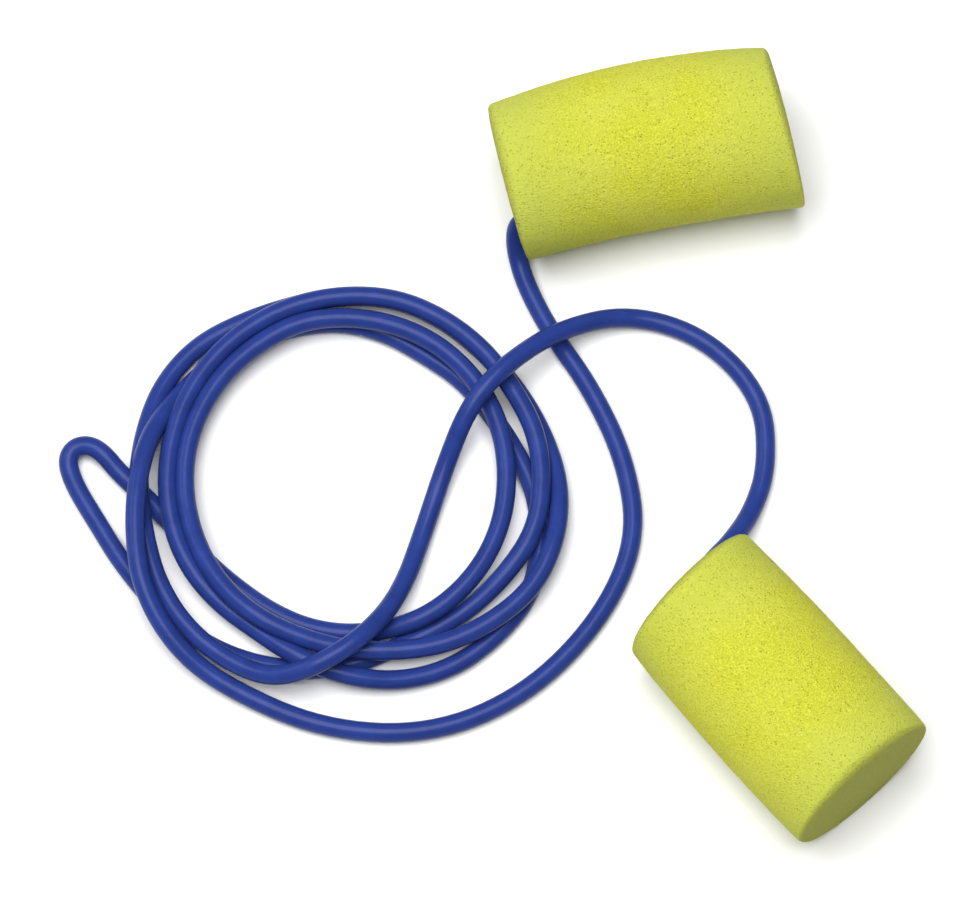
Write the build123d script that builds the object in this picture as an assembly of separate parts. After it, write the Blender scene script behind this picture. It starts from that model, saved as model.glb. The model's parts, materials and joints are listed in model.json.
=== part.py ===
"""Corded foam ear plugs: two foam cylinders on one limp cord, lying on a flat surface.

Millimetres, +Z up. The origin is the middle of the two plugs' common box, on the surface that
they lie on. Each plug has a blind bore that an end of the cord is glued into, and a flared mouth
that leaves the cord room when the plug swings about it. The free part of the cord is a tail from
each plug, a loose coil, and one fold that sticks out of the coil.
"""

import math
import os

from build123d import *

# Foam plugs. Each one's local X axis runs along it and out of its cord end.
PLUG_D = 13.5
PLUG_R = PLUG_D / 2
PLUG_EDGE = 0.5
PLUGS = {
    # length, middle of the axis (x, y), heading of the cord end in degrees from +X,
    # and the bore's place off the axis (sideways, up)
    "a": {"length": 23.0, "at": (-4.5, 24.2), "heading": 193.0, "bore": (2.4, -2.4)},
    "b": {"length": 21.0, "at": (5.25, -21.0), "heading": 130.8, "bore": (-2.0, -2.75)},
}

# Cord, its glued ends, and the mouth of each bore
CORD_D = 1.6
CORD_R = CORD_D / 2
GLUED_L = 9.0
BEAD_L = 2.4
BEAD_R = 1.25
MOUTH_DEPTH = 1.0
MOUTH_R = 2.1
POCKET_R = 1.1
POCKET_GAP = 0.05

# Routes of the cord's free stretches. A tail's first point is the middle of its plug's mouth,
# where the plug swings.
TAIL_A = [
    (-16.0, 19.1, 4.2),
    (-16.9, 17.6, 3.0),
    (-16.0, 15.8, 1.4),
    (-13.6, 12.4, 0.8),
    (-9.4, 6.2, 0.8),
    (-6.4, 0.0, 0.8),
    (-5.4, -6.8, 0.8),
    (-8.6, -13.8, 0.8),
    (-14.6, -20.0, 0.8),
    (-22.2, -23.2, 0.8),
    (-31.0, -22.8, 0.8),
    (-38.6, -18.8, 1.4),
]
FOLD = [
    (-43.4, -12.8, 0.8),
    (-47.2, -8.9, 0.8),
    (-50.6, -4.6, 0.8),
    (-52.4, -0.8, 0.9),
    (-52.3, 1.9, 1.8),
    (-49.9, 2.5, 2.4),
    (-48.0, -0.4, 1.4),
    (-45.2, -3.1, 0.8),
    (-42.4, -6.2, 0.8),
]
TAIL_B = [
    (-0.7, -11.1, 4.0),
    (-0.5, -9.2, 2.8),
    (2.2, -7.2, 1.5),
    (4.3, -4.0, 0.8),
    (5.3, -0.4, 0.8),
    (4.8, 5.2, 0.8),
    (0.2, 10.2, 0.8),
    (-5.8, 12.6, 0.8),
    (-11.6, 10.6, 3.2),
    (-16.2, 7.0, 4.9),
    (-19.0, 3.4, 4.6),
    (-21.0, -0.8, 1.4),
    (-22.8, -6.2, 0.8),
    (-24.6, -11.4, 1.8),
    (-27.0, -15.6, 4.4),
    (-30.6, -18.0, 4.4),
    (-34.2, -18.6, 2.6),
]
CORNER_SHARE = 0.45

# Coil: its middle, its height, and its inner and outer radii every 30 degrees from +X
COIL_AT = (-29.2, -2.4)
COIL_H = 4.0
COIL_INNER = [12.3, 12.5, 12.3, 13.2, 12.8, 12.5, 12.1, 12.1, 11.3, 11.6, 12.2, 12.4]
COIL_OUTER = [18.0, 16.9, 17.0, 17.1, 17.1, 17.9, 17.5, 19.1, 19.8, 17.5, 18.2, 18.3]
COIL_EDGE = 0.8


def along_x(radius, length, start):
    """A cylinder along local X from x = start back into the plug."""
    disc = Plane((start, 0, 0), x_dir=(0, 1, 0), z_dir=(-1, 0, 0)) * Circle(radius)
    return extrude(disc, length)


def mouth_depth_x(plug):
    """Local X of the point in the mouth where the cord bends."""
    return plug["length"] / 2 - MOUTH_DEPTH


def glued_start_x(plug):
    """Local X where the glued end of the cord begins, just below the mouth's pocket."""
    return mouth_depth_x(plug) - CORD_R - POCKET_GAP


def at_bore(plug, shape):
    side, up = plug["bore"]
    return Pos(0, side, up) * shape


def in_place(plug, shape):
    x, y = plug["at"]
    return Pos(x, y, PLUG_R) * Rot(0, 0, plug["heading"]) * shape


def mouth_cut(plug):
    """The flare from the end face down to the bend, and the pocket below it."""
    deep = mouth_depth_x(plug)
    face = plug["length"] / 2
    flare = Plane.XZ * Polygon(
        (deep, 0), (face + 0.5, 0), (face + 0.5, MOUTH_R + 0.5), (deep, POCKET_R), align=None
    )
    flare = revolve(flare, Axis.X)
    pocket = along_x(POCKET_R, deep - glued_start_x(plug), deep)
    return flare + pocket


def foam(plug):
    length = plug["length"]
    body = along_x(PLUG_R, length, length / 2)
    body = fillet(body.edges().filter_by(GeomType.CIRCLE), PLUG_EDGE)
    start = glued_start_x(plug)
    bore = along_x(CORD_R, GLUED_L, start)
    cavity = along_x(BEAD_R, BEAD_L, start - GLUED_L + BEAD_L / 2)
    for cut in (mouth_cut(plug), bore, cavity):
        body -= at_bore(plug, cut)
    return in_place(plug, body)


def glued_end(plug):
    """The end of the cord that sits in the bore."""
    return in_place(plug, at_bore(plug, along_x(CORD_R, GLUED_L, glued_start_x(plug))))


def bead(plug):
    """Adhesive round the deep end of the cord and over its tip."""
    tip = glued_start_x(plug) - GLUED_L
    ball = along_x(BEAD_R, BEAD_L, tip + BEAD_L / 2)
    ball -= along_x(CORD_R, BEAD_L / 2, tip + BEAD_L / 2)
    return in_place(plug, at_bore(plug, ball))


def bend_point(plug):
    """The point that a tail starts from and its plug swings about, in the model's frame."""
    side, up = plug["bore"]
    turn = math.radians(plug["heading"])
    x = mouth_depth_x(plug)
    return (
        plug["at"][0] + x * math.cos(turn) - side * math.sin(turn),
        plug["at"][1] + x * math.sin(turn) + side * math.cos(turn),
        PLUG_R + up,
    )


def corner_radii(points):
    """Each corner's radius, as large as its two runs allow."""
    radii = []
    for before, here, after in zip(points, points[1:], points[2:]):
        run_in = Vector(here) - Vector(before)
        run_out = Vector(after) - Vector(here)
        half_turn = math.radians(run_in.get_angle(run_out)) / 2
        shorter = min(run_in.length, run_out.length)
        radii.append(CORNER_SHARE * shorter / math.tan(half_turn))
    return radii


def cord_tube(name, points, round_start=False):
    radii = corner_radii(points)
    path = FilletPolyline(*points, radius=radii)
    section = Plane(origin=path @ 0, z_dir=path % 0) * Circle(CORD_R)
    tube = sweep(section, path=path)
    ideal = math.pi * CORD_R**2 * path.length
    print(name, "length", round(path.length, 1), "radii", [round(r, 1) for r in radii])
    print(name, "volume", round(tube.volume, 2), "section x length", round(ideal, 2))
    if round_start:
        tube += Pos(*points[0]) * Sphere(CORD_R)
    return tube


def ring_outline(radii):
    """A smooth closed outline through one point every 30 degrees."""
    step = 2 * math.pi / len(radii)
    x, y = COIL_AT
    points = [
        (x + r * math.cos(i * step), y + r * math.sin(i * step)) for i, r in enumerate(radii)
    ]
    return make_face(Spline(*points, periodic=True))


def coil():
    """The outer shape of the loose turns, as one closed ring."""
    ring = extrude(ring_outline(COIL_OUTER) - ring_outline(COIL_INNER), COIL_H)
    return chamfer(ring.faces().sort_by(Axis.Z)[-1].edges(), COIL_EDGE)


def build():
    nodes = {}
    for key, plug in PLUGS.items():
        nodes[f"foam_plug_{key}"] = foam(plug)
        nodes[f"cord_end_{key}"] = glued_end(plug)
        nodes[f"glue_bead_{key}"] = bead(plug)
    routes = {"a": TAIL_A, "b": TAIL_B}
    for key, route in routes.items():
        points = [bend_point(PLUGS[key])] + route
        print("bend point", key, [round(v, 3) for v in points[0]])
        nodes[f"cord_tail_{key}"] = cord_tube(f"cord_tail_{key}", points, round_start=True)
    nodes["cord_fold"] = cord_tube("cord_fold", FOLD)
    nodes["cord_coil"] = coil()
    return nodes


os.makedirs("parts", exist_ok=True)
for node, shape in build().items():
    export_step(shape, f"parts/{node}.step")
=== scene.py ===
"""Corded foam ear plugs: two yellow-green foam cylinders on one limp blue cord, on a pale floor."""

import json
import math

import bmesh
import bpy
from mathutils import Matrix, Vector, noise
from mathutils.bvhtree import BVHTree


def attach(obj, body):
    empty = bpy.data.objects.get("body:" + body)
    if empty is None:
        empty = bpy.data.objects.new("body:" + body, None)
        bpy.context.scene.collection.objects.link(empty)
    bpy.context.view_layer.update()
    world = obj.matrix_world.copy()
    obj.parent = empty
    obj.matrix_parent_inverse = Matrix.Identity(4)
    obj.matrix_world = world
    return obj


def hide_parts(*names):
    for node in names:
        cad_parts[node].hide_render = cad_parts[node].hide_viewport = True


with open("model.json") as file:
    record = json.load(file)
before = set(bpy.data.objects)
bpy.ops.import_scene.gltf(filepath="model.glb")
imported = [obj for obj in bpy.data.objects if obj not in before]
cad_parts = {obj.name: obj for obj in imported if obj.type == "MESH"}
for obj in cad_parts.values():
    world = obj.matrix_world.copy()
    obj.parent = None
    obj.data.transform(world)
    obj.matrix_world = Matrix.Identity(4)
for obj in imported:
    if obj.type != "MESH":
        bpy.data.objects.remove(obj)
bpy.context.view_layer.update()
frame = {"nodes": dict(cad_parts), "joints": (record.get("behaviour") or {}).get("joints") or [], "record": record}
JOINTS = {joint["name"]: joint for joint in frame["joints"]}
MOUNTS = {mount["name"]: mount for mount in frame["record"]["mounts"]}
MM = 0.001

# Camera: straight on, well above the surface, with a long lens
CAMERA_TARGET = (-0.0176, 0.00055, 0.0)
CAMERA_ELEVATION = 72.0
CAMERA_DISTANCE = 0.5
SENSOR = 36.0
LENS = 226.6

# Floor, lights and surroundings, in metres and watts
FLOOR_HALF_WIDTH = 1.5
FLOOR_WHITE = (0.83, 0.83, 0.83, 1.0)
LIGHTS = {
    "key": {"place": (-0.10, -0.03, 0.85), "size": 0.65, "power": 12.0},
    "side": {"place": (-0.60, 0.25, 0.45), "size": 0.35, "power": 1.2},
}
WORLD_WHITE = (1.0, 1.0, 1.0, 1.0)
WORLD_STRENGTH = 0.10

# Cord: everything in millimetres. Its route runs from plug a to plug b: a tail, the inward turns of the coil, the
# fold, the outward turns and the other tail.
CORD_D = 1.6
TAIL_A = [
    (-13.8, 19.6, 4.35),
    (-14.4, 19.5, 4.4),
    (-15.15, 19.2, 3.75),
    (-15.35, 18.5, 2.5),
    (-15.1, 17.1, 1.3),
    (-14.3, 14.7, 0.8),
    (-12.4, 10.9, 0.8),
    (-9.2, 6.2, 0.8),
    (-6.4, 0.0, 0.8),
    (-5.45, -6.8, 0.8),
    (-8.55, -13.75, 0.8),
    (-14.55, -19.95, 0.8),
    (-22.2, -23.25, 0.8),
    (-31.0, -22.75, 0.8),
    (-39.05, -19.1, 1.1),
]
FOLD = [
    (-44.1, -12.6, 0.8),
    (-47.15, -8.85, 0.8),
    (-49.4, -5.1, 0.8),
    (-50.8, -2.8, 0.8),
    (-51.6, -1.0, 0.85),
    (-51.7, 0.2, 1.0),
    (-51.0, 1.0, 1.2),
    (-49.8, 1.0, 1.4),
    (-48.7, 0.2, 1.4),
    (-47.6, -1.1, 0.9),
    (-45.4, -3.2, 0.8),
    (-42.9, -5.8, 0.8),
]
TAIL_B = [
    (0.8, -12.8, 4.0),
    (0.15, -12.0, 4.0),
    (-0.1, -10.8, 3.85),
    (0.4, -9.5, 3.5),
    (2.0, -7.7, 2.7),
    (3.9, -4.5, 1.0),
    (5.15, -0.6, 0.8),
    (4.85, 5.3, 0.8),
    (0.4, 10.45, 0.8),
    (-5.8, 12.6, 0.8),
    (-11.6, 10.45, 3.2),
    (-16.1, 6.85, 4.9),
    (-19.1, 3.4, 4.6),
    (-21.1, -0.9, 1.4),
    (-22.8, -6.2, 0.8),
    (-24.5, -11.5, 1.8),
    (-27.0, -15.6, 4.4),
    (-30.6, -18.2, 4.6),
    (-34.4, -19.2, 3.0),
]

# Coil. Each strand is a list of (degrees, radius, height) about the coil's middle, and radius and
# height change evenly from one place to the next. Heights of 0.8, 2.4 and 4.0 are the first,
# second and third layer on the surface.
COIL_AT = (-29.2, -2.4)
COIL_STEP = 15
STRAND_IN = [
    (-135, 19.2, 2.6), (-150, 18.55, 4.0), (-165, 17.3, 4.1), (-180, 16.5, 4.0),
    (-195, 16.0, 3.2), (-210, 15.6, 0.8), (-225, 15.05, 0.8), (-240, 14.55, 0.8),
    (-270, 14.1, 0.8), (-300, 13.0, 0.8), (-330, 13.3, 0.8), (-345, 13.95, 0.8),
    (-360, 15.3, 0.8), (-390, 17.5, 0.8), (-420, 17.5, 0.8), (-435, 16.95, 1.1),
    (-450, 16.1, 2.0), (-465, 15.0, 2.4), (-480, 14.1, 1.9), (-495, 14.1, 1.7),
    (-510, 14.3, 2.2), (-540, 14.3, 2.4), (-555, 14.4, 2.4), (-585, 15.0, 2.4),
    (-615, 15.65, 2.4), (-645, 16.15, 2.4), (-660, 16.0, 2.4), (-690, 15.7, 2.4),
    (-705, 16.0, 2.4), (-735, 15.9, 2.4), (-750, 15.1, 2.0), (-765, 14.4, 0.9),
    (-780, 14.0, 0.8), (-795, 14.2, 0.8), (-825, 15.9, 0.8), (-855, 17.5, 0.8),
]
STRAND_OUT = [
    (-150, 12.7, 0.8), (-135, 12.05, 0.8), (-120, 11.95, 0.8), (-90, 12.3, 0.8),
    (-75, 12.6, 1.3), (-60, 13.1, 2.3), (-45, 13.1, 2.4), (0, 13.1, 2.4),
    (60, 13.9, 2.4), (105, 14.1, 2.4), (120, 13.7, 2.4), (150, 13.2, 2.4),
    (180, 12.9, 2.4), (195, 12.85, 2.5), (210, 13.0, 2.9), (240, 13.5, 3.4),
    (255, 13.6, 2.9), (270, 14.0, 2.4), (285, 14.7, 2.4), (300, 15.8, 2.4),
    (330, 17.65, 2.4), (345, 17.7, 2.4), (360, 17.35, 1.3), (375, 16.7, 0.8),
    (390, 16.25, 0.8), (405, 16.1, 0.8), (435, 16.65, 0.8), (450, 16.45, 0.8),
    (465, 16.15, 0.8), (480, 16.4, 0.8), (495, 17.1, 0.8), (510, 17.2, 0.9),
    (525, 16.8, 1.4), (540, 16.6, 2.4), (555, 16.6, 2.4), (570, 17.15, 2.4),
    (585, 17.55, 2.4), (600, 17.6, 2.4),
]

# Foam plugs. Local X runs along a plug and out of its cord end, local Z is up, and the numbers
# are millimetres. Radii are at the free end, the middle and the cord end. Leans are how far the
# top of each end face, at the free end and the cord end, is pushed towards the cord end. Drift
# moves the cord end sideways and the free end the other way. Skew pushes one side of the cord
# end's face out, and reach the whole of it.
PLUG_R = 6.75
PLUG_EDGE = 0.5
PLUG_SHAPES = {
    "a": {
        "radii": (6.75, 6.90, 6.58),
        "bow": -0.80,
        "drift": -0.20,
        "leans": (0.55, 0.90),
        "skew": 0.0,
        "reach": 0.20,
        "seed": 3.0,
    },
    "b": {
        "radii": (6.75, 6.90, 6.55),
        "bow": 0.05,
        "drift": 0.0,
        "leans": (0.15, 0.35),
        "skew": -0.45,
        "reach": -0.12,
        "seed": 8.0,
    },
}
RIM_SIDE = 0.35
RIM_TOP = 1.1
CROWN = 0.08
PIT_R = 2.73
PIT_DEEP = 1.65

# The ends' shaping begins at this share of the way from the middle to an end
END_FROM = 0.6

# Lumps in the foam: each kind's size and height
LUMPS = ((6.0, 0.05), (1.5, 0.02), (0.5, 0.012))

# A point nearer to the plug's axis than this has no direction to swell in
AXIS_R = 0.01

# How fine the foam's mesh is: points around it, cells along it, and steps over a rim
AROUND = 176
CELL = 0.24
RIM_STEPS = 7

# How the foam gives way, in metres: the gap kept to the cord, how far from the cord that is
# looked for, the height that pressing begins at, and the depth below which a point lies flat
FOAM_GAP = 0.03 * MM
CORD_REACH = 1.5 * CORD_D * MM
FLAT = 0.25 * MM
SUNK = -4 * FLAT

# Foam colours, from the brightest skin to the painted shade at the bottoms of the pore hollows; the end faces also
# get painted shade
FOAM_BRIGHT = (0.58, 0.59, 0.052, 1.0)
FOAM_DULL = (0.45, 0.46, 0.024, 1.0)
FOAM_PALE = (0.53, 0.56, 0.085, 1.0)
FOAM_END = (0.45, 0.50, 0.080, 1.0)
# Painted shade on the end faces, as if they faced away from the light
FOAM_END_FACE_SHADE = (0.17, 0.16, 0.03, 1.0)
# Painted shade at the bottoms of the pore hollows
FOAM_PORE_SHADE = (0.22, 0.22, 0.015, 1.0)
FOAM_SPECK = (0.10, 0.08, 0.02, 1.0)

# Foam texture. A size is in metres. A range is where a pattern goes from none to full, and a
# share is how strong it is at full.
GRAIN_SIZE = 0.15 * MM
GRAIN_DETAIL = 3.0
GRAIN_RANGE = (0.40, 0.60)
PATCH_SIZE = 5.0 * MM
PATCH_RANGE = (0.40, 0.70)
PATCH_SHARE = 0.5
END_RANGE = (4.0 * MM, 11.0 * MM)
END_SHARE = 0.75
# The pore pattern sets both the sunken pore hollows and the painted shade in them
PORE_SIZE = 0.25 * MM
PORE_RANGE = (0.10, 0.36)
PORE_DEPTH_SIZE = 0.5 * MM
PORE_DEPTH_RANGE = (0.20, 0.75)
PORE_SINK = -1.5
SPECK_SPACING = 7.0 * MM
SPECK_RANGE = (0.018, 0.026)
# Painted shade on the end faces: where it begins and ends by how squarely a face looks along the plug, and how
# strong it is
END_FACE_SHADE_RANGE = (0.30, 1.0)
END_FACE_SHADE_SHARE = 0.5
FOAM_BUMP = 0.035 * MM

# Cord colours and texture
CORD_BLUE = (0.019, 0.041, 0.215, 1.0)
CORD_DEEP = (0.016, 0.033, 0.175, 1.0)
CORD_SCRATCH = (0.25, 0.30, 0.55, 1.0)
MOTTLE_SIZE = 1.6 * MM
MOTTLE_RANGE = (0.3, 0.7)
SCUFF_SPACING = 5.0 * MM
SCUFF_RANGE = (0.018, 0.030)
RIPPLE_SIZE = 0.5 * MM
RIPPLE_DETAIL = 4.0
CORD_BUMP = 0.012 * MM

# Glue colours and texture
GLUE_DARK = (0.55, 0.42, 0.16, 1.0)
GLUE_LIGHT = (0.72, 0.60, 0.30, 1.0)
CLOUD_SIZE = 0.8 * MM
CLOUD_RANGE = (0.3, 0.7)

# Values set on each material's shader
FOAM_SURFACE = {
    "Roughness": 0.85,
    "Specular IOR Level": 0.2,
    "Subsurface Weight": 0.15,
    "Subsurface Radius": (1.0, 0.9, 0.25),
    "Subsurface Scale": 0.4 * MM,
}
CORD_SURFACE = {
    "Roughness": 0.28,
    "Specular IOR Level": 0.11,
    "Subsurface Weight": 0.05,
    "Subsurface Radius": (0.5, 0.3, 1.0),
    "Subsurface Scale": 0.4 * MM,
}
GLUE_SURFACE = {"Roughness": 0.2, "Transmission Weight": 0.3}
FLOOR_SURFACE = {"Base Color": FLOOR_WHITE, "Roughness": 0.9, "Specular IOR Level": 0.1}


def coil_point(degrees, radius, height):
    """A control point of the coil, far enough out for the curve to pass at the radius."""
    turn = math.radians(degrees)
    r = radius / math.cos(math.radians(COIL_STEP / 2))
    return (COIL_AT[0] + r * math.cos(turn), COIL_AT[1] + r * math.sin(turn), height)


def strand_points(places):
    """The control points of one coil strand, every COIL_STEP degrees of its turns."""
    points = []
    for (start, r0, z0), (end, r1, z1) in zip(places, places[1:]):
        steps = abs(end - start) // COIL_STEP
        for i in range(steps):
            share = i / steps
            degrees = start + (end - start) * share
            points.append(coil_point(degrees, r0 + (r1 - r0) * share, z0 + (z1 - z0) * share))
    return points + [coil_point(*places[-1])]


def cord_route():
    """Every control point of the cord, in millimetres."""
    coil_in = strand_points(STRAND_IN)
    coil_out = strand_points(STRAND_OUT)
    return TAIL_A + coil_in + FOLD + coil_out + TAIL_B[::-1]


def camera():
    """A long lens that looks down on the middle of the ear plugs."""
    data = bpy.data.cameras.new("camera")
    data.sensor_width = SENSOR
    data.lens = LENS
    data.clip_start = 0.01
    target = Vector(CAMERA_TARGET)
    tilt = math.radians(CAMERA_ELEVATION)
    away = Vector((0, -math.cos(tilt), math.sin(tilt)))
    obj = bpy.data.objects.new("camera", data)
    obj.location = target + away * CAMERA_DISTANCE
    obj.rotation_euler = away.to_track_quat("Z", "Y").to_euler()
    bpy.context.scene.collection.objects.link(obj)
    bpy.context.scene.camera = obj


def new_material(name, surface):
    """A new material, its node tree and its shader, with the surface's values set."""
    material = bpy.data.materials.new(name)
    material.use_nodes = True
    tree = material.node_tree
    shader = tree.nodes["Principled BSDF"]
    for socket, value in surface.items():
        shader.inputs[socket].default_value = value
    return material, tree, shader


def coordinates(tree, kind):
    """The surface's position or normal in the object's own space: kind is Object or Normal."""
    return tree.nodes.new("ShaderNodeTexCoord").outputs[kind]


def put(tree, socket, value):
    """Sets a socket to a plain value, or links another node's output to it."""
    if isinstance(value, bpy.types.NodeSocket):
        tree.links.new(value, socket)
    else:
        socket.default_value = value


def noise_texture(tree, position, size, detail=2.0):
    """Noise whose lumps are about size metres across."""
    texture = tree.nodes.new("ShaderNodeTexNoise")
    texture.inputs["Scale"].default_value = 1 / size
    texture.inputs["Detail"].default_value = detail
    tree.links.new(position, texture.inputs["Vector"])
    return texture.outputs["Fac"]


def cell_texture(tree, position, size):
    """The distance from the middle of the nearest cell, for cells about size metres across."""
    texture = tree.nodes.new("ShaderNodeTexVoronoi")
    texture.inputs["Scale"].default_value = 1 / size
    tree.links.new(position, texture.inputs["Vector"])
    return texture.outputs["Distance"]


def ramp(tree, value, span, rising=True):
    """Value turned into 0 to 1 over the span, or 1 to 0."""
    spread = tree.nodes.new("ShaderNodeMapRange")
    spread.inputs["From Min"].default_value = span[0]
    spread.inputs["From Max"].default_value = span[1]
    spread.inputs["To Min"].default_value = 0.0 if rising else 1.0
    spread.inputs["To Max"].default_value = 1.0 if rising else 0.0
    tree.links.new(value, spread.inputs["Value"])
    return spread.outputs["Result"]


def mixed(tree, share, first, second):
    """A colour between first and second; each is a colour or another node's output."""
    mix = tree.nodes.new("ShaderNodeMix")
    mix.data_type = "RGBA"
    tree.links.new(share, mix.inputs["Factor"])
    put(tree, mix.inputs["A"], first)
    put(tree, mix.inputs["B"], second)
    return mix.outputs["Result"]


def calculated(tree, operation, *values):
    """The result of a Math node; each value is a number or another node's output."""
    node = tree.nodes.new("ShaderNodeMath")
    node.operation = operation
    for socket, value in zip(node.inputs, values):
        put(tree, socket, value)
    return node.outputs["Value"]


def off_middle(tree, vector, axis, middle):
    """How far a vector reaches along the axis, either way from the middle."""
    along = tree.nodes.new("ShaderNodeVectorMath")
    along.operation = "DOT_PRODUCT"
    along.inputs[1].default_value = axis
    tree.links.new(vector, along.inputs[0])
    moved = calculated(tree, "SUBTRACT", along.outputs["Value"], middle)
    return calculated(tree, "ABSOLUTE", moved)


def bumpy(tree, height, distance, shader):
    """Gives the shader a surface raised by height, up to distance metres."""
    bump = tree.nodes.new("ShaderNodeBump")
    bump.inputs["Strength"].default_value = 1.0
    bump.inputs["Distance"].default_value = distance
    tree.links.new(height, bump.inputs["Height"])
    tree.links.new(bump.outputs["Normal"], shader.inputs["Normal"])


def foam_skin(tree, position, axis, middle, grain, pore_dips_and_shade):
    """The foam's colour, from its grain, where it is on the plug, painted shade in its pore hollows and painted
    shade on its end faces.
    """
    skin = mixed(tree, grain, FOAM_DULL, FOAM_BRIGHT)
    patches = ramp(tree, noise_texture(tree, position, PATCH_SIZE), PATCH_RANGE)
    skin = mixed(tree, calculated(tree, "MULTIPLY", patches, PATCH_SHARE), skin, FOAM_PALE)
    ends = ramp(tree, off_middle(tree, position, axis, middle), END_RANGE)
    skin = mixed(tree, calculated(tree, "MULTIPLY", ends, END_SHARE), skin, FOAM_END)
    # Painted shade in the pore hollows
    skin = mixed(tree, pore_dips_and_shade, skin, FOAM_PORE_SHADE)
    specks = ramp(tree, cell_texture(tree, position, SPECK_SPACING), SPECK_RANGE, False)
    skin = mixed(tree, specks, skin, FOAM_SPECK)
    # Painted shade on the end faces, found by how squarely the surface faces along the plug
    end_face_shade = ramp(tree, off_middle(tree, coordinates(tree, "Normal"), axis, 0.0), END_FACE_SHADE_RANGE)
    return mixed(tree, calculated(tree, "MULTIPLY", end_face_shade, END_FACE_SHADE_SHARE), skin, FOAM_END_FACE_SHADE)


def foam_material(key):
    """Slow-recovery foam: a matte skin full of fine pore hollows with painted shade in them, paler near the plug's
    ends, and with painted shade on its end faces."""
    material, tree, shader = new_material(f"foam_{key}", FOAM_SURFACE)
    position = coordinates(tree, "Object")
    axis = Vector(MOUNTS[f"ear_{key}"]["axis"])
    middle = axis.dot(Vector(MOUNTS[f"ear_{key}"]["pos_m"]))
    grain = ramp(tree, noise_texture(tree, position, GRAIN_SIZE, GRAIN_DETAIL), GRAIN_RANGE)
    # The pore pattern: it sinks the pore hollows in the bump and paints shade into them
    pore_dips_and_shade = ramp(tree, cell_texture(tree, position, PORE_SIZE), PORE_RANGE, False)
    depth = ramp(tree, noise_texture(tree, position, PORE_DEPTH_SIZE), PORE_DEPTH_RANGE)
    pore_dips_and_shade = calculated(tree, "MULTIPLY", pore_dips_and_shade, depth)
    skin = foam_skin(tree, position, axis, middle, grain, pore_dips_and_shade)
    tree.links.new(skin, shader.inputs["Base Color"])
    sunk = calculated(tree, "MULTIPLY", pore_dips_and_shade, PORE_SINK)
    bumpy(tree, calculated(tree, "ADD", grain, sunk), FOAM_BUMP, shader)
    return material


def cord_material():
    """Soft blue vinyl with a satin gloss, faintly mottled and with a few small scuffs."""
    material, tree, shader = new_material("cord_vinyl", CORD_SURFACE)
    position = coordinates(tree, "Object")
    mottle = ramp(tree, noise_texture(tree, position, MOTTLE_SIZE), MOTTLE_RANGE)
    blue = mixed(tree, mottle, CORD_DEEP, CORD_BLUE)
    scuffs = ramp(tree, cell_texture(tree, position, SCUFF_SPACING), SCUFF_RANGE, False)
    blue = mixed(tree, scuffs, blue, CORD_SCRATCH)
    tree.links.new(blue, shader.inputs["Base Color"])
    bumpy(tree, noise_texture(tree, position, RIPPLE_SIZE, RIPPLE_DETAIL), CORD_BUMP, shader)
    return material


def glue_material():
    """Clear amber adhesive."""
    material, tree, shader = new_material("glue", GLUE_SURFACE)
    position = coordinates(tree, "Object")
    clouds = ramp(tree, noise_texture(tree, position, CLOUD_SIZE), CLOUD_RANGE)
    tree.links.new(mixed(tree, clouds, GLUE_DARK, GLUE_LIGHT), shader.inputs["Base Color"])
    return material


def cord(material):
    """The whole free cord, as one tube along one smooth line."""
    data = bpy.data.curves.new("cord", "CURVE")
    data.dimensions = "3D"
    data.resolution_u = 8
    data.bevel_depth = CORD_D / 2 * MM
    data.bevel_resolution = 6
    data.use_fill_caps = True
    spline = data.splines.new("NURBS")
    route = cord_route()
    spline.points.add(len(route) - 1)
    for point, place in zip(spline.points, route):
        point.co = (place[0] * MM, place[1] * MM, place[2] * MM, 1.0)
    spline.order_u = 3
    spline.use_endpoint_u = True
    spline.use_smooth = True
    data.materials.append(material)
    piece = bpy.data.objects.new("cord", data)
    bpy.context.scene.collection.objects.link(piece)
    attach(piece, "cord")
    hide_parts("cord_tail_a", "cord_tail_b", "cord_fold", "cord_coil")
    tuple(JOINTS["plug_a_swing"]["pos_m"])
    return piece


def cord_surface(piece):
    """A search tree of the cord's surface."""
    return BVHTree.FromObject(piece, bpy.context.evaluated_depsgraph_get())


def plug_frame(key):
    """A plug's placement from the record's mount, and its length in millimetres."""
    mount = MOUNTS[f"ear_{key}"]
    along = -Vector(mount["axis"])
    side = Vector((0, 0, 1)).cross(along)
    turn = Matrix((along, side, Vector((0, 0, 1)))).transposed().to_4x4()
    length = mount["dims"]["length_mm"] + 2 * PLUG_EDGE
    return Matrix.Translation(mount["pos_m"]) @ turn, length


def profile(length):
    """Rows from the middle of the cord end to the middle of the free end.

    Each is (x, share of the flat face's radius, share of the rim's rounding across, and share of
    it along).
    """
    half = length / 2
    face_steps = round((PLUG_R - RIM_SIDE) / CELL)
    end = [(half, i / face_steps, 0.0, 0.0) for i in range(1, face_steps + 1)]
    for i in range(1, RIM_STEPS + 1):
        turn = math.pi / 2 * i / RIM_STEPS
        end.append((half, 1.0, math.sin(turn), 1 - math.cos(turn)))
    straight = length - 2 * RIM_TOP
    side_steps = round(straight / CELL)
    side = [(straight * (0.5 - i / side_steps), 1.0, 1.0, 0.0) for i in range(1, side_steps)]
    far_end = [(-x, inner, across, along) for x, inner, across, along in end]
    return end + side + far_end[::-1]


def plug_radius(radii, u):
    """The radius at u, from -1 at the free end to 1 at the cord end."""
    free, middle, corded = radii
    tilt = (corded - free) / 2
    dip = (corded + free) / 2 - middle
    return middle + tilt * u + dip * u * u


def lumps(x, y, z, seed):
    """How far all the lumps raise the foam at a point."""
    shift = Vector((seed, -seed, 2 * seed))
    return sum(height * noise.noise(Vector((x, y, z)) / size + shift) for size, height in LUMPS)


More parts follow.
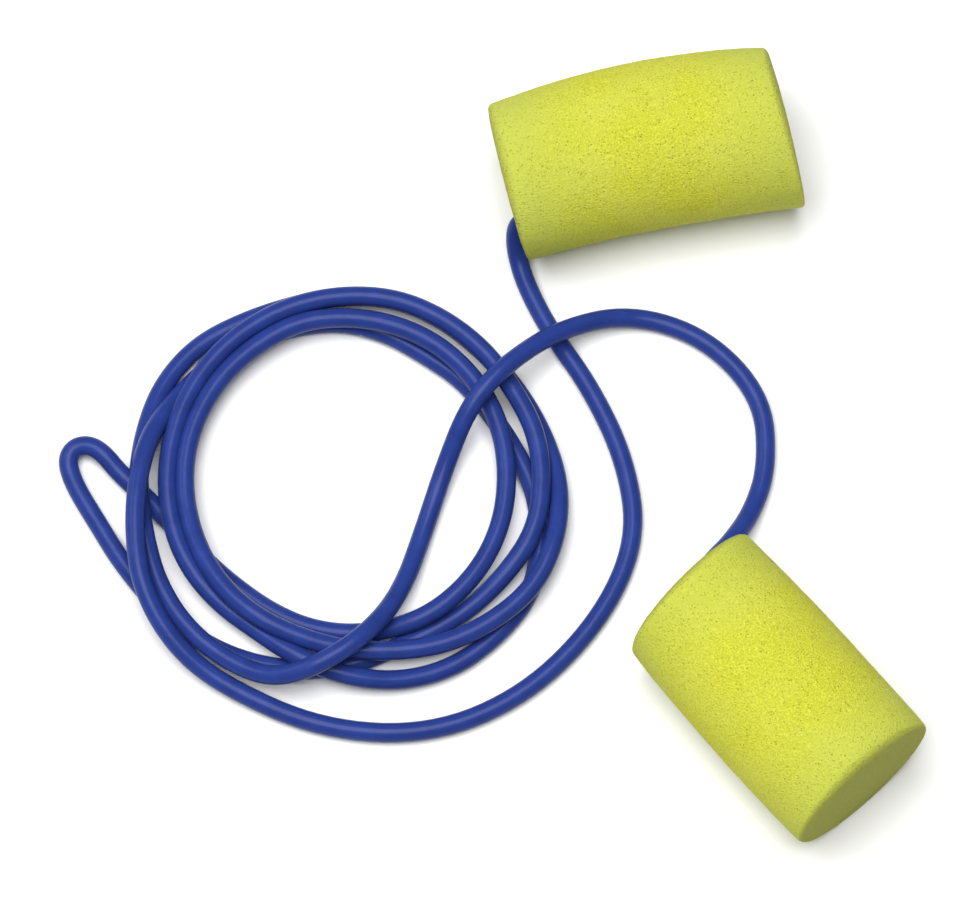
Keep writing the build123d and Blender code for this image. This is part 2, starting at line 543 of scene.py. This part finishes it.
def foam_point(x, y, z, half, shape, mouth):
    """Where a point of the plain barrel goes on the soft plug."""
    u = x / half
    end_share = max(0.0, abs(u) - END_FROM) / (1 - END_FROM)
    r = math.hypot(y, z)
    x += math.copysign(CROWN * (1 - (r / PLUG_R) ** 2) * end_share**4, u)
    lean = shape["leans"][1] if u > 0 else shape["leans"][0]
    x += lean * (z / PLUG_R) * end_share**2
    if u > 0:
        x += (shape["skew"] * (y / PLUG_R) + shape["reach"]) * end_share**2
    y += shape["bow"] * (1 - u * u) + shape["drift"] * u
    swell = lumps(x, y, z, shape["seed"])
    if r > AXIS_R:
        y += y / r * swell
        z += z / r * swell
    x += math.copysign(swell, u) * end_share**4
    away = math.hypot(y - mouth[0], z - mouth[1])
    if u > 0 and away < PIT_R:
        pit = 0.5 + 0.5 * math.cos(math.pi * away / PIT_R)
        x -= PIT_DEEP * pit * end_share**4
    return x, y, z


def lifted(z):
    """A height kept off the surface: what would sink below it is pressed nearly flat."""
    if z > FLAT:
        return z
    return FLAT * math.exp((z - FLAT) / FLAT) if z > SUNK else 0.0


def barrel_ring(row, half, shape, vertex):
    """The ring of points at one row of a plug's profile, which vertex makes one by one."""
    row_x, inner, across, along = row
    row_r = plug_radius(shape["radii"], row_x / half)
    ring = []
    for j in range(AROUND):
        turn = 2 * math.pi * j / AROUND
        rim = RIM_SIDE + (RIM_TOP - RIM_SIDE) * max(0.0, math.sin(turn)) ** 2
        x = row_x - math.copysign(rim * along, row_x)
        r = (row_r - rim) * inner + rim * across
        ring.append(vertex(x, r * math.cos(turn), r * math.sin(turn)))
    return ring


def barrel_faces(bm, rings, middles):
    """The faces from ring to ring, and from each end ring to the middle of its end face."""
    for ring, following in zip(rings, rings[1:]):
        for j in range(AROUND):
            k = (j + 1) % AROUND
            bm.faces.new((ring[j], ring[k], following[k], following[j]))
    for ring, middle in zip((rings[0], rings[-1]), middles):
        for j in range(AROUND):
            bm.faces.new((ring[j], middle, ring[(j + 1) % AROUND]))


def clear_of_cord(bm, tube):
    """Presses the foam back to the cord's surface wherever the cord lies in it."""
    for vert in bm.verts:
        spot, normal, _, _ = tube.find_nearest(vert.co, CORD_REACH)
        if spot and (vert.co - spot).dot(normal) < FOAM_GAP:
            vert.co = spot + normal * FOAM_GAP


def foam_plug(key, material, tube):
    """One plug as a closed mesh: a soft-edged, slightly bowed barrel with the cord's mouth."""
    place, length = plug_frame(key)
    half = length / 2
    shape = PLUG_SHAPES[key]
    bend = place.inverted() @ Vector(JOINTS[f"plug_{key}_swing"]["pos_m"])
    mouth = (bend.y / MM, bend.z / MM)
    bm = bmesh.new()

    def vertex(x, y, z):
        spot = place @ (Vector(foam_point(x, y, z, half, shape, mouth)) * MM)
        spot.z = lifted(spot.z)
        return bm.verts.new(spot)

    rings = [barrel_ring(row, half, shape, vertex) for row in profile(length)]
    middles = [vertex(x, 0.0, 0.0) for x in (half, -half)]
    barrel_faces(bm, rings, middles)
    clear_of_cord(bm, tube)
    bmesh.ops.recalc_face_normals(bm, faces=bm.faces)
    mesh = bpy.data.meshes.new(f"foam_{key}")
    bm.to_mesh(mesh)
    bm.free()
    mesh.shade_smooth()
    mesh.materials.append(material)
    piece = bpy.data.objects.new(f"foam_{key}", mesh)
    bpy.context.scene.collection.objects.link(piece)
    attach(piece, f"plug_{key}")
    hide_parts(f"foam_plug_{key}")
    return piece


def repaint(node, material):
    """Gives a CAD node that stays visible its Blender material."""
    frame["nodes"][node].data.materials.clear()
    frame["nodes"][node].data.materials.append(material)


def floor():
    """A wide plain pale sheet that the ear plugs lie on."""
    mesh = bpy.data.meshes.new("floor")
    bm = bmesh.new()
    bmesh.ops.create_grid(bm, x_segments=1, y_segments=1, size=FLOOR_HALF_WIDTH)
    bm.to_mesh(mesh)
    bm.free()
    material = new_material("floor_white", FLOOR_SURFACE)[0]
    mesh.materials.append(material)
    piece = bpy.data.objects.new("floor", mesh)
    bpy.context.scene.collection.objects.link(piece)


def softbox(name, place, size, power):
    """A square area light that faces the middle of the ear plugs."""
    data = bpy.data.lights.new(name, "AREA")
    data.size = size
    data.energy = power
    lamp = bpy.data.objects.new(name, data)
    lamp.location = place
    aim = Vector(place) - Vector(CAMERA_TARGET)
    lamp.rotation_euler = aim.to_track_quat("Z", "Y").to_euler()
    bpy.context.scene.collection.objects.link(lamp)


def lighting():
    """The softboxes, and a low even light from all round."""
    for name, light in LIGHTS.items():
        softbox(name, **light)
    world = bpy.data.worlds.new("studio")
    world.use_nodes = True
    background = world.node_tree.nodes["Background"]
    background.inputs["Color"].default_value = WORLD_WHITE
    background.inputs["Strength"].default_value = WORLD_STRENGTH
    bpy.context.scene.world = world
    bpy.context.scene.view_settings.view_transform = "Standard"


camera()
vinyl = cord_material()
cord_tree = cord_surface(cord(vinyl))
amber_glue = glue_material()
for side_key in PLUG_SHAPES:
    foam_plug(side_key, foam_material(side_key), cord_tree)
    repaint(f"cord_end_{side_key}", vinyl)
    repaint(f"glue_bead_{side_key}", amber_glue)
floor()
lighting()
bpy.context.view_layer.update()
